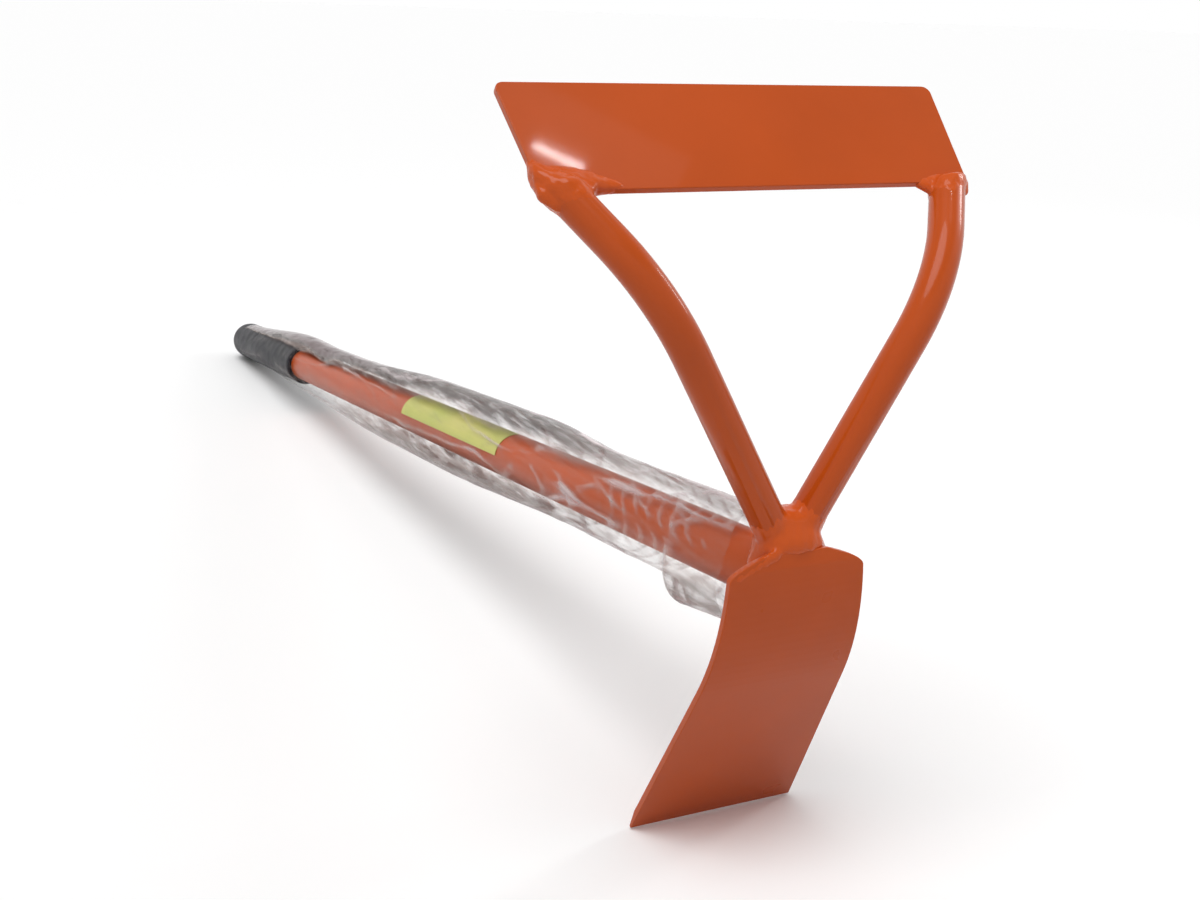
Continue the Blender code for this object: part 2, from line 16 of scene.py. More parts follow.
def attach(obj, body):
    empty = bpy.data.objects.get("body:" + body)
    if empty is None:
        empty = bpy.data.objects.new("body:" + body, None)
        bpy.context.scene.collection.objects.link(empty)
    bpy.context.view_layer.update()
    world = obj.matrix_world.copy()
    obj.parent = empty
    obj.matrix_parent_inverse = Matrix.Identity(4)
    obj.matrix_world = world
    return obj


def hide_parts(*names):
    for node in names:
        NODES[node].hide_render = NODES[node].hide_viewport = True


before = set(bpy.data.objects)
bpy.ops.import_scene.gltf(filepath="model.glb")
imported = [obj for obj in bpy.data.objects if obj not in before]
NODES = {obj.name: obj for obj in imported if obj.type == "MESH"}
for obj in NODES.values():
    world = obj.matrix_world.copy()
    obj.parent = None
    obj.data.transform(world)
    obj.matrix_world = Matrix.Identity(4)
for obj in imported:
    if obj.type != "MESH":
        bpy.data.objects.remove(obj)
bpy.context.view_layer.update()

MM = 0.001
PLATE = 3.0 * MM
TUBE_RADIUS = 12.7 * MM
ROD_RADIUS = 7.2 * MM
HANDLE_LENGTH = 966.0 * MM
PLATE_EDGE_ROUNDING = 0.45 * MM
SMOOTH_SHADED_UNDER = math.radians(35.0)

GRIP_START = 745.0 * MM
GRIP_TIP = 972.0 * MM
GRIP_RADIUS = 16.2 * MM
GRIP_DOME = 19.0 * MM
GRIP_LIP = 1.6 * MM
GRIP_WAIST = 0.25 * MM

BLADE_TOP_Z = 8.0 * MM
ROOT_Y = 9.3 * MM
ROOT_Z = 8.6 * MM
BEND_X = 61.0 * MM
BEND_Y = -6.8 * MM
BEND_Z = 113.5 * MM
WIDE_EDGE_Y = 22.7 * MM
WIDE_EDGE_Z = 149.0 * MM
WIDE_LEAN = math.radians(40.0)
ROD_TOP_X = 84.7 * MM

FILM_START = 34.0 * MM
FILM_END = 940.0 * MM
FILM_TAPER = 95.0 * MM
FILM_TURN = math.radians(18.0)
FILM_THICKNESS = 0.25 * MM
FILM_TUBE_SIDE = 13.55 * MM
FILM_GRIP_SIDE = GRIP_RADIUS + 0.3 * MM

# The film's outer face. Each crease stands off the handle's axis by its reach, is fuller along one
# stretch and closes in over the grip
FILM_UPPER_REACH = 22.5 * MM
FILM_UPPER_FULLNESS = 5.0 * MM
FILM_UPPER_FULL_FROM = 150.0 * MM
FILM_UPPER_RISE = 110.0 * MM
FILM_UPPER_FULL_TO = 590.0 * MM
FILM_UPPER_FALL = 180.0 * MM
FILM_UPPER_CLOSING = 200.0 * MM
FILM_PUCKER = 2.0 * MM
FILM_PUCKER_LENGTH = 85.0 * MM
FILM_LOWER_REACH = 20.5 * MM
FILM_LOWER_FULLNESS = 5.0 * MM
FILM_LOWER_FULL_FROM = 180.0 * MM
FILM_LOWER_RISE = 200.0 * MM
FILM_LOWER_FULL_TO = 760.0 * MM
FILM_LOWER_FALL = 260.0 * MM
FILM_LOWER_CLOSING = 100.0 * MM

# The lower crease hangs down as a flap at the film's mouth, deepest at its far corner
FILM_FLAP_END = 88.0 * MM
FILM_FLAP_CORNER = 13.0 * MM
FILM_FLAP_MOUTH_DROP = 6.0 * MM
FILM_FLAP_CORNER_DROP = 9.5 * MM

# Folds: how many run along the film, and how far apart the slanted ones and the pleats are. The film
# is bunched at its mouth, loose for a stretch behind it and calm towards the grip
FILM_LONG_FOLDS = 6.0
FILM_SLANT_SPACING = 46.0 * MM
FILM_PLEAT_SPACING = 13.0 * MM
FILM_BUNCHED_TO = 190.0 * MM
FILM_BUNCHED_FADE = 70.0 * MM
FILM_LOOSE_TO = 380.0 * MM
FILM_LOOSE_FADE = 220.0 * MM
FILM_CALM_FROM = 550.0 * MM
FILM_CALM_RISE = 180.0 * MM

# How much the film veils and how dark it is painted, over the handle, along the upper crease and along the
# lower one. The darkness is a painted reflection of the dark surroundings that the creased bands mirror.
# Where there are three values, they are for its mouth, half way and the grip
FILM_CLEAR_HAZE = (0.038, 0.03, 0.015)
FILM_UPPER_HAZE = (0.18, 0.42, 1.6)
FILM_UPPER_PAINTED_REFLECTION = (0.3, 0.55, 1.0)
FILM_LOWER_HAZE = (0.05, 0.5, 0.03)
FILM_LOWER_PAINTED_REFLECTION = 0.3
FILM_FLAP_HAZE = 0.2

ROOT_WELD_Z = 6.0 * MM
ROOT_WELD_HEIGHT = 22.0 * MM
ROOT_WELD_FOOT = 21.5 * MM
ROOT_WELD_NECK = 12.5 * MM
ROOT_WELD_LEFT_FLARE = 0.35
ROOT_WELD_REAR = 2.0 * MM

# The root weld's front starts inside the blade, swells out over its top edge and draws back in above
ROOT_WELD_INSIDE = 0.5 * MM
ROOT_WELD_SWELL = 3.1 * MM
ROOT_WELD_SWELL_FROM = 8.4 * MM
ROOT_WELD_SWELL_RISE = 4.8 * MM
ROOT_WELD_DRAW = 3.0 * MM
ROOT_WELD_DRAW_FROM = 15.0 * MM
ROOT_WELD_DRAW_RISE = 11.0 * MM

# A collar of balls climbs each fork rod, and a wash of them runs down over the blade's left shoulder
COLLAR_BALLS = 9
COLLAR_START = 4.0 * MM
COLLAR_STEP = 2.4 * MM
COLLAR_COVER = 1.9 * MM
COLLAR_THINNING = 0.24 * MM
WASH_BALLS = 10
WASH_START = (-11.0 * MM, -0.75 * MM, 11.2 * MM)
WASH_END = (-26.5 * MM, 0.0, 4.6 * MM)
WASH_BALL = (4.5 * MM, 1.5 * MM, 2.6 * MM)
WASH_LEAN = math.radians(-23.0)

# The weld behind the narrow blade goes round the tube, apart from this angle at its top on each side
TUBE_WELD_OPEN = math.radians(72.0)
TUBE_WELD_STEPS = 34
TUBE_WELD_STANDOFF = 1.3 * MM
TUBE_WELD_LIFT = 1.2 * MM
TUBE_WELD_BALL = 3.5 * MM
TUBE_WELD_RIPPLE = 0.5 * MM

# How finely a weld's frozen ripple is grained, in cycles per metre
WELD_GRAIN = 260.0

# How the fork's upper bars lean in the wide blade's plane, measured from its upward direction
ROD_SLANT_TAN = 0.513
ROD_SLANT_COS = 0.89

# In millimetres: a place in from the rod along the wide blade's lower edge, then the weld's lower and
# upper end there, measured up the blade from that edge, and how far it stands off the plate
LEFT_BEAD = (
    (-11.0, -2.0, 14.0, 0.2),
    (-9.3, -4.5, 17.0, 1.5),
    (-5.5, -8.0, 12.5, 2.0),
    (6.0, -9.5, 11.0, 3.0),
    (12.0, -0.6, 9.0, 2.4),
    (22.0, 0.3, 4.0, 1.2),
    (23.5, 0.3, 2.5, 0.2),
)
RIGHT_BEAD = (
    (-10.0, -1.0, 2.5, 0.0),
    (-8.0, -5.5, 4.5, 0.6),
    (6.0, -10.0, 4.5, 0.8),
    (11.5, -4.0, 3.0, 0.6),
    (15.5, -0.6, 1.0, 0.1),
)

PAINT = (0.53, 0.077, 0.006)
RUBBER_DARK = (0.007, 0.007, 0.009)
RUBBER_PALE = (0.024, 0.023, 0.031)
STICKER_GREEN = (0.49, 0.54, 0.09)
STICKER_YELLOW = (0.67, 0.63, 0.15)
FILM_PALE = (0.70, 0.54, 0.48)
# Painted reflection: grey and dark tones for the film's creased bands, standing for the dark surroundings
# they mirror
FILM_GREY = (0.11, 0.078, 0.068)
FILM_DARK = (0.085, 0.032, 0.034)
# Painted highlight: the pale pink that the film's folds and seams are whitened to, standing for their glints
FILM_CREASE_HIGHLIGHT = (0.78, 0.67, 0.68)
FLOOR_LIT = (0.68, 0.68, 0.68)
FLOOR_SEEN = (0.98, 0.98, 0.98)

# The camera stands on the tool's left, its heading turned from +Y towards +X and its pitch downward
CAMERA_PLACE = (-0.3034, -0.9279, 0.3392)
CAMERA_HEADING = math.radians(25.97)
CAMERA_PITCH = math.radians(-16.83)
CAMERA_ROLL = math.radians(-2.12)
CAMERA_FOCAL_MM = 44.52
CAMERA_SENSOR_MM = 36.0

# Two of the lamps face the wide blade's left end, and their long sides run this way
GLARE_SPOT = (-0.083, -0.431, 0.286)
GLARE_RUN = (0.81, -0.43, -0.41)


# Placing

def tool_matrix():
    """The tool's frame, read from the tube: the middles of its end rings lie on the handle's axis."""
    points = np.array([v.co for v in NODES["handle_tube"].data.vertices], float)
    points = np.unique(points.round(7), axis=0)
    front = points[points[:, 1] < points[:, 1].mean()]
    rear = points[points[:, 1] > points[:, 1].mean()]
    end = Vector(rear.mean(0))
    along = (end - Vector(front.mean(0))).normalized()
    across = Vector((1.0, 0.0, 0.0))
    up = across.cross(along).normalized()
    origin = end - HANDLE_LENGTH * along
    columns = [across, along, up]
    matrix = Matrix.Identity(4)
    for column, axis in enumerate(columns):
        for row in range(3):
            matrix[row][column] = axis[row]
        matrix[column][3] = origin[column]
    return matrix


TOOL = tool_matrix()


def smooth_step(value):
    t = min(max(value, 0.0), 1.0)
    return t * t * (3.0 - 2.0 * t)


def link_piece(name, mesh, material, replaces=()):
    """A finished mesh in the tool's frame becomes a piece that rides on the tool."""
    mesh.transform(TOOL)
    mesh.materials.clear()
    mesh.materials.append(material)
    piece = bpy.data.objects.new(name, mesh)
    bpy.context.scene.collection.objects.link(piece)
    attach(piece, "root")
    if replaces:
        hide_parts(*replaces)
    return piece


def mesh_from(name, verts, faces, smooth=True):
    mesh = bpy.data.meshes.new(name)
    mesh.from_pydata(verts, [], faces)
    mesh.validate()
    if smooth:
        mesh.shade_smooth()
    return mesh


# Materials

def new_material(name):
    material = bpy.data.materials.new(name)
    material.use_nodes = True
    tree = material.node_tree
    return material, tree, tree.nodes["Principled BSDF"]


def add_node(tree, kind, **settings):
    node = tree.nodes.new(kind)
    for key, value in settings.items():
        setattr(node, key, value)
    return node


def noise_node(tree, scale, detail=3.0, stretch=(1.0, 1.0, 1.0), rough=0.5):
    """Noise in the object's own space, in cycles per metre, stretched along its axes."""
    where = add_node(tree, "ShaderNodeTexCoord")
    mapping = add_node(tree, "ShaderNodeMapping")
    mapping.inputs["Scale"].default_value = stretch
    texture = add_node(tree, "ShaderNodeTexNoise")
    texture.inputs["Scale"].default_value = scale
    texture.inputs["Detail"].default_value = detail
    texture.inputs["Roughness"].default_value = rough
    tree.links.new(where.outputs["Object"], mapping.inputs["Vector"])
    tree.links.new(mapping.outputs["Vector"], texture.inputs["Vector"])
    return texture.outputs["Fac"]


def blend(tree, factor, first, second):
    """One colour that turns into another as the factor goes from 0 to 1."""
    mix = add_node(tree, "ShaderNodeMix", data_type="RGBA")
    tree.links.new(factor, mix.inputs["Factor"])
    for socket, colour in (("A", first), ("B", second)):
        if isinstance(colour, tuple):
            mix.inputs[socket].default_value = (*colour, 1.0)
        else:
            tree.links.new(colour, mix.inputs[socket])
    return mix.outputs["Result"]


def map_range(tree, source, low, high, to_low, to_high, smooth=True):
    node = add_node(tree, "ShaderNodeMapRange", interpolation_type="SMOOTHSTEP" if smooth else "LINEAR")
    for key, value in (("From Min", low), ("From Max", high), ("To Min", to_low), ("To Max", to_high)):
        node.inputs[key].default_value = value
    tree.links.new(source, node.inputs["Value"])
    return node.outputs["Result"]


def bump_node(tree, height, distance, normal=None):
    """A bump of a distance in metres, on top of another one's normal if that is given."""
    node = add_node(tree, "ShaderNodeBump")
    node.inputs["Strength"].default_value = 1.0
    node.inputs["Distance"].default_value = distance
    tree.links.new(height, node.inputs["Height"])
    if normal is not None:
        tree.links.new(normal, node.inputs["Normal"])
    return node.outputs["Normal"]


def seen_colour(tree, lit, shown):
    """One colour for the light that falls on the tool, another for what the eye and gloss see."""
    path = add_node(tree, "ShaderNodeLightPath")
    seen = path.outputs["Is Camera Ray"]
    for ray in ("Is Glossy Ray", "Is Transmission Ray"):
        either = add_node(tree, "ShaderNodeMath", operation="MAXIMUM")
        tree.links.new(seen, either.inputs[0])
        tree.links.new(path.outputs[ray], either.inputs[1])
        seen = either.outputs["Value"]
    return blend(tree, seen, lit, shown)


def scaled(colour, factor):
    return tuple(channel * factor for channel in colour)


def paint_material(name, colour, rough=(0.26, 0.34), lumps=0.0, coat=0.26):
    """Semi-gloss enamel with a drifting tone and gloss, on steel that is slightly wavy and may be lumpy."""
    material, tree, shader = new_material(name)
    drift = map_range(tree, noise_node(tree, 16.0, 4.0), 0.0, 1.0, 0.0, 1.0)
    tone = blend(tree, drift, scaled(colour, 0.9), scaled(colour, 1.1))
    tree.links.new(tone, shader.inputs["Base Color"])
    gloss = map_range(tree, noise_node(tree, 55.0, 3.0), 0.0, 1.0, *rough)
    tree.links.new(gloss, shader.inputs["Roughness"])
    normal = bump_node(tree, noise_node(tree, 9.0, 1.0), 0.2 * MM)
    if lumps:
        normal = bump_node(tree, noise_node(tree, 420.0, 3.0), lumps, normal)
    tree.links.new(normal, shader.inputs["Normal"])
    shader.inputs["Specular IOR Level"].default_value = 0.12
    shader.inputs["Coat Weight"].default_value = coat
    shader.inputs["Coat Roughness"].default_value = 0.045
    return material


def rubber_material():
    """Matt black rubber with a fine grain, rubbed a little paler in patches."""
    material, tree, shader = new_material("grip_rubber")
    rubbed = map_range(tree, noise_node(tree, 45.0, 5.0), 0.1, 0.9, 0.0, 1.0)
    tree.links.new(blend(tree, rubbed, RUBBER_DARK, RUBBER_PALE), shader.inputs["Base Color"])
    gloss = map_range(tree, noise_node(tree, 90.0, 4.0), 0.1, 0.9, 0.34, 0.56)
    tree.links.new(gloss, shader.inputs["Roughness"])
    normal = bump_node(tree, noise_node(tree, 900.0, 3.0), 0.06 * MM)
    tree.links.new(normal, shader.inputs["Normal"])
    shader.inputs["Specular IOR Level"].default_value = 0.15
    return material


def sticker_material():
    """A bare yellow label with a greenish drift and the slight creases of a strip stuck on by hand."""
    material, tree, shader = new_material("bare_sticker")
    drift = map_range(tree, noise_node(tree, 40.0, 4.0, stretch=(1.0, 0.5, 1.0)), 0.2, 0.8, 0.0, 1.0)
    tree.links.new(blend(tree, drift, STICKER_GREEN, STICKER_YELLOW), shader.inputs["Base Color"])
    normal = bump_node(tree, noise_node(tree, 300.0, 3.0, stretch=(1.0, 0.3, 1.0)), 0.05 * MM)
    tree.links.new(normal, shader.inputs["Normal"])
    shader.inputs["Roughness"].default_value = 0.42
    return material


def film_material():
    """Clear crinkled film. Its mesh carries haze (opacity), a darkness (a painted reflection of dark
    surroundings on the creased bands) and crease (a painted highlight: whitening that stands for glints on
    folds and seams).
    """
    material, tree, shader = new_material("packaging_film")
    haze = add_node(tree, "ShaderNodeAttribute", attribute_name="haze")
    painted_reflection = add_node(tree, "ShaderNodeAttribute", attribute_name="painted_reflection")
    crease = add_node(tree, "ShaderNodeAttribute", attribute_name="crease")
    wrinkles = noise_node(tree, 260.0, 4.0, stretch=(1.0, 0.10, 1.0), rough=0.6)
    # Painted reflection: the creased bands turn grey and then dark, for the dark surroundings they mirror
    darkness = painted_reflection.outputs["Fac"]
    greyed = map_range(tree, darkness, 0.0, 0.5, 0.0, 1.0)
    darkened = map_range(tree, darkness, 0.5, 1.0, 0.0, 1.0)
    tone = blend(tree, greyed, FILM_PALE, FILM_GREY)
    tone = blend(tree, darkened, tone, FILM_DARK)
    # Painted highlight: folds and seams are whitened towards a pale pink, for the glints on them
    tone = blend(tree, crease.outputs["Fac"], tone, FILM_CREASE_HIGHLIGHT)
    tree.links.new(tone, shader.inputs["Base Color"])
    streaks = map_range(tree, wrinkles, 0.30, 0.72, 0.4, 1.8)
    opacity = add_node(tree, "ShaderNodeMath", operation="MULTIPLY", use_clamp=True)
    tree.links.new(haze.outputs["Fac"], opacity.inputs[0])
    tree.links.new(streaks, opacity.inputs[1])
    tree.links.new(opacity.outputs["Value"], shader.inputs["Alpha"])
    normal = bump_node(tree, wrinkles, 0.6 * MM)
    normal = bump_node(tree, noise_node(tree, 90.0, 3.0, stretch=(1.0, 0.4, 1.0)), 1.2 * MM, normal)
    tree.links.new(normal, shader.inputs["Normal"])
    shader.inputs["Roughness"].default_value = 0.13
    shader.inputs["Specular IOR Level"].default_value = 0.3
    return material


# Carried-over solids, welded to one surface each and given softened edges

def dressed(node, name, material, edge=0.0, merge_flat=True):
    """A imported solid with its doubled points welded, its round sides shaded smooth and its edges eased."""
    bm = bmesh.new()
    bm.from_mesh(NODES[node].data)
    bmesh.ops.remove_doubles(bm, verts=bm.verts, dist=1e-6)
    bmesh.ops.recalc_face_normals(bm, faces=bm.faces)
    if merge_flat:
        flat = [e for e in bm.edges if len(e.link_faces) == 2 and e.calc_face_angle(0.0) < math.radians(0.2)]
        bmesh.ops.dissolve_edges(bm, edges=flat, use_verts=False, use_face_split=False)
    mesh = bpy.data.meshes.new(name)
    bm.to_mesh(mesh)
    bm.free()
    mesh.transform(TOOL.inverted())
    mesh.shade_smooth()
    mesh.set_sharp_from_angle(angle=SMOOTH_SHADED_UNDER)
    piece = link_piece(name, mesh, material, (node,))
    if edge:
        bevel = piece.modifiers.new("edge", "BEVEL")
        bevel.width = edge
        bevel.segments = 3
        bevel.limit_method = "ANGLE"
        bevel.angle_limit = math.radians(40.0)
        bevel.harden_normals = True


# Welds

def ball(bm, centre, size, turn=None):
    """A ball of weld metal with its three half sizes, turned by a matrix if that is given."""
    made = bmesh.ops.create_icosphere(bm, subdivisions=2, radius=1.0)
    for vert in made["verts"]:
        point = Vector((vert.co.x * size[0], vert.co.y * size[1], vert.co.z * size[2]))
        vert.co = Vector(centre) + (turn @ point if turn else point)


def weld_metal(name, bm, material, node, rounds, rough, seed, voxel=0.7 * MM, grain=(1.0, 1.0, 1.0)):
    """Fuses weld metal into one skin, softens it and gives it a frozen ripple."""
    mesh = bpy.data.meshes.new(name)
    bm.to_mesh(mesh)
    bm.free()
    work = bpy.data.objects.new(name + "_work", mesh)
    bpy.context.scene.collection.objects.link(work)
    remesh = work.modifiers.new("fuse", "REMESH")
    remesh.mode = "VOXEL"
    remesh.voxel_size = voxel
    soften = work.modifiers.new("soften", "SMOOTH")
    soften.factor = 0.5
    soften.iterations = rounds
    bpy.context.view_layer.update()
    graph = bpy.context.evaluated_depsgraph_get()
    fused = bpy.data.meshes.new_from_object(work.evaluated_get(graph))
    bpy.data.objects.remove(work)
    offset = Vector((seed, 2.0 * seed, -seed))
    for vert in fused.vertices:
        place = Vector([WELD_GRAIN * share * part for share, part in zip(grain, vert.co)]) + offset
        lump = noise.noise(place) + 0.5 * noise.noise(place * 2.3)
        vert.co += vert.normal * lump * rough
    fused.shade_smooth()
    link_piece(name, fused, material, (node,))


def rod_direction(side):
    """The fork rod's direction where it leaves its root."""
    return (Vector((side * BEND_X, BEND_Y, BEND_Z)) - Vector((0.0, ROOT_Y, ROOT_Z))).normalized()


def root_ring(share, sides=56):
    """One level of the root weld: a wide foot on the blade's top edge under a narrow neck."""
    z = ROOT_WELD_Z + ROOT_WELD_HEIGHT * share
    cap = math.sqrt(max(1.0 - max((share - 0.8) / 0.2, 0.0) ** 2, 0.03))
    flare = (ROOT_WELD_FOOT - ROOT_WELD_NECK) * (1.0 - share) ** 3
    swell = ROOT_WELD_SWELL * smooth_step((z - ROOT_WELD_SWELL_FROM) / ROOT_WELD_SWELL_RISE)
    draw = ROOT_WELD_DRAW * smooth_step((z - ROOT_WELD_DRAW_FROM) / ROOT_WELD_DRAW_RISE)
    front = ROOT_WELD_INSIDE - swell + draw
    rear = ROOT_Y + ROD_RADIUS + ROOT_WELD_REAR
    middle, half_depth = 0.5 * (front + rear), 0.5 * (rear - front) * cap
    ring = []
    for k in range(sides):
        angle = 2.0 * math.pi * k / sides
        across = math.copysign(abs(math.sin(angle)) ** 0.8, math.sin(angle))
        along = math.copysign(abs(math.cos(angle)) ** 0.8, math.cos(angle))
        half_width = (ROOT_WELD_NECK + flare * (1.0 if across > 0.0 else ROOT_WELD_LEFT_FLARE)) * cap
        ring.append(Vector((half_width * across, middle + half_depth * along, z)))
    return ring


def root_weld(material):
    """A bell of weld metal round the rods' feet, with a collar up each rod and a wash over the blade."""
    bm = bmesh.new()
    levels = 24
    rings = [[bm.verts.new(point) for point in root_ring(i / levels)] for i in range(levels + 1)]
    for first, second in zip(rings, rings[1:]):
        for i in range(len(first)):
            j = (i + 1) % len(first)
            bm.faces.new((first[i], first[j], second[j], second[i]))
    bm.faces.new(list(reversed(rings[0])))
    bm.faces.new(rings[-1])
    for side in (-1.0, 1.0):
        along = rod_direction(side)
        for k in range(COLLAR_BALLS):
            centre = Vector((0.0, ROOT_Y, ROOT_Z)) + along * (COLLAR_START + COLLAR_STEP * k)
            size = ROD_RADIUS + COLLAR_COVER - COLLAR_THINNING * k
            ball(bm, centre, (size, size, size))
    lean = Matrix.Rotation(WASH_LEAN, 3, "Y")
    for k in range(WASH_BALLS):
        share = k / (WASH_BALLS - 1)
        centre = [start + (end - start) * share for start, end in zip(WASH_START, WASH_END)]
        ball(bm, centre, WASH_BALL, lean)
    upright_grain = (1.4, 1.2, 0.4)
    weld_metal("root_weld_metal", bm, material, "root_weld", 8, 0.3 * MM, seed=3.1, grain=upright_grain)


def wide_frame():
    """Turns the wide blade's own axes (across, off its face, up it) into the tool's frame."""
    return Matrix.Rotation(-WIDE_LEAN, 3, "X")


def pad_thickness(across, up, low, high, fat, cover):
    """How far a weld pad stands off the plate's middle plane: a rod's round under a sloping skirt."""
    off_rod = ROD_SLANT_COS * (across + ROD_SLANT_TAN * up)
    if up > 0.0:
        share = min(up / high, 1.0)
        radius, slope, rounding = cover, 1.0 - share ** 1.25, 1.0 - share * share
    else:
        share = min(up / low, 1.0)
        radius = ROD_RADIUS - 0.3 * MM + (cover - ROD_RADIUS + 0.3 * MM) * (1.0 - share * share)
        slope, rounding = 1.0, math.sqrt(max(1.0 - share * share, 0.0))
    over_rod = math.sqrt(max(radius * radius - off_rod * off_rod, 0.0)) * slope
    hidden = 1.3 * MM if up > 0.0 else 1.3 * MM * rounding
    underside = math.sqrt(min(max((up - low) / (2.5 * MM), 0.0), 1.0))
    return max(over_rod, hidden + fat * rounding * underside, 0.2 * MM)


def blade_bead(name, side, outline, cover, material, node, seed):
    """Weld metal round one rod's end, as a pad that lies on both faces of the plate.

    The outline's rows hold a place across (in from the rod), the pad's lower and upper end there and
    how far it stands off the plate, in millimetres.
    """
    turn = wide_frame()
    base = Vector((side * ROD_TOP_X, WIDE_EDGE_Y, WIDE_EDGE_Z))
    table = np.array(outline) * MM
    columns, levels = 72, 40
    bm = bmesh.new()
    skins = []
    for face in (-1.0, 1.0):
        skin = []
        for across in np.linspace(table[0, 0], table[-1, 0], columns + 1):
            low, high, fat = (float(np.interp(across, table[:, 0], table[:, k])) for k in (1, 2, 3))
            line = []
            for k in range(levels + 1):
                up = low + (high - low) * k / levels
                thick = pad_thickness(across, up, low, high, fat, cover)
                line.append(bm.verts.new(base + turn @ Vector((-side * across, face * thick, up))))
            skin.append(line)
        skins.append(skin)
        for i in range(columns):
            for k in range(levels):
                bm.faces.new((skin[i][k], skin[i + 1][k], skin[i + 1][k + 1], skin[i][k + 1]))
    rim = [(i, 0) for i in range(columns)] + [(columns, k) for k in range(levels)]
    rim += [(i, levels) for i in range(columns, 0, -1)] + [(0, k) for k in range(levels, 0, -1)]
    for (i, k), (j, m) in zip(rim, rim[1:] + rim[:1]):
        bm.faces.new((skins[0][i][k], skins[0][j][m], skins[1][j][m], skins[1][i][k]))
    bmesh.ops.recalc_face_normals(bm, faces=bm.faces)
    weld_metal(name, bm, material, node, 7, 0.28 * MM, seed, voxel=0.6 * MM)


def blade_y(z):
    """The narrow blade's back face behind a height z, near enough for a weld to lie on."""
    drop = max(BLADE_TOP_Z - z, 0.0)
    tilt, radius = math.radians(2.5), 105.5 * MM
    return 0.5 * PLATE + drop * math.tan(tilt) + drop * drop / (2.0 * radius)


def tube_weld(material):
    """A rippled bead round the tube's end, on the back of the narrow blade."""
    bm = bmesh.new()
    ring = TUBE_RADIUS + TUBE_WELD_STANDOFF
    for i in range(TUBE_WELD_STEPS + 1):
        angle = TUBE_WELD_OPEN + 2.0 * (math.pi - TUBE_WELD_OPEN) * i / TUBE_WELD_STEPS
        z = ring * math.cos(angle)
        size = TUBE_WELD_BALL + TUBE_WELD_RIPPLE * math.sin(2.4 * i)
        ball(bm, (ring * math.sin(angle), blade_y(z) + TUBE_WELD_LIFT, z), (size, size, size))
    weld_metal("tube_weld_metal", bm, material, "blade_weld", 3, 0.2 * MM, seed=7.7)


# Grip

def grip_piece(material):
    """A turned rubber sleeve with a rolled lip, a soft dome and a faint waist."""
    profile = [(GRIP_START + 0.5 * GRIP_LIP, TUBE_RADIUS + 0.1 * MM)]
    lip_steps, waist_steps, dome_steps, sides = 6, 40, 16, 72
    lip_middle = TUBE_RADIUS + 0.3 * MM + GRIP_LIP
    for k in range(lip_steps + 1):
        angle = math.pi * k / lip_steps
        y = GRIP_START + GRIP_LIP - GRIP_LIP * math.sin(angle)
        profile.append((y, lip_middle - GRIP_LIP * math.cos(angle)))
    straight_start = GRIP_START + 2.0 * MM
    straight_end = GRIP_TIP - GRIP_DOME
    for k in range(1, waist_steps):
        share = k / waist_steps
        y = straight_start + (straight_end - straight_start) * share
        profile.append((y, GRIP_RADIUS - GRIP_WAIST * math.sin(math.pi * share)))
    for k in range(dome_steps + 1):
        angle = 0.5 * math.pi * k / dome_steps
        y = straight_end + GRIP_DOME * math.sin(angle)
        profile.append((y, GRIP_RADIUS * max(math.cos(angle), 1e-4) ** 0.75))
    verts = []
    for y, radius in profile:
        for i in range(sides):
            angle = 2.0 * math.pi * i / sides
            verts.append((radius * math.sin(angle), y, radius * math.cos(angle)))
    faces = []
    for row in range(len(profile) - 1):
        for i in range(sides):
            j = (i + 1) % sides
            a, b = row * sides, (row + 1) * sides
            faces.append((a + i, a + j, b + j, b + i))
    faces.append(tuple(range(sides)))
    faces.append(tuple(reversed(range((len(profile) - 1) * sides, len(profile) * sides))))
    mesh = mesh_from("rubber_grip", verts, faces)
    fix_normals(mesh)
    link_piece("rubber_grip", mesh, material, ("hand_grip",))


def fix_normals(mesh):
    bm = bmesh.new()
    bm.from_mesh(mesh)
    bmesh.ops.remove_doubles(bm, verts=bm.verts, dist=1e-7)
    bmesh.ops.recalc_face_normals(bm, faces=bm.faces)
    bm.to_mesh(mesh)
    bm.free()
    mesh.shade_smooth()
    mesh.set_sharp_from_angle(angle=math.radians(50.0))


# Film

def fullness(y, start, rise, end, fall):
    """One along a full stretch of film, easing to nought before and after it."""
    return smooth_step((y - start) / rise) * smooth_step((end - y) / fall)


def closed_in(reach, y, length):
    """A crease's reach as it closes in on the grip along a length of it."""
    closing = smooth_step((y - GRIP_START) / length)
    return reach + (FILM_GRIP_SIDE - reach) * closing


def upper_crease(y):
    """How far the upper crease stands off the axis at y. It puckers up just before the grip."""
    full = fullness(y, FILM_UPPER_FULL_FROM, FILM_UPPER_RISE, FILM_UPPER_FULL_TO, FILM_UPPER_FALL)
    pucker = smooth_step((y - (GRIP_START - FILM_PUCKER_LENGTH)) / FILM_PUCKER_LENGTH)
    reach = FILM_UPPER_REACH + FILM_UPPER_FULLNESS * full + FILM_PUCKER * pucker
    return closed_in(reach, y, FILM_UPPER_CLOSING)


def flap_drop(y):
    along = (y - FILM_START) / (FILM_FLAP_END - FILM_START)
    drop = FILM_FLAP_MOUTH_DROP + (FILM_FLAP_CORNER_DROP - FILM_FLAP_MOUTH_DROP) * along
    return drop * smooth_step((FILM_FLAP_END - y) / FILM_FLAP_CORNER)


def lower_crease(y):
    full = fullness(y, FILM_LOWER_FULL_FROM, FILM_LOWER_RISE, FILM_LOWER_FULL_TO, FILM_LOWER_FALL)
    reach = FILM_LOWER_REACH + FILM_LOWER_FULLNESS * full + flap_drop(y)
    return closed_in(reach, y, FILM_LOWER_CLOSING)


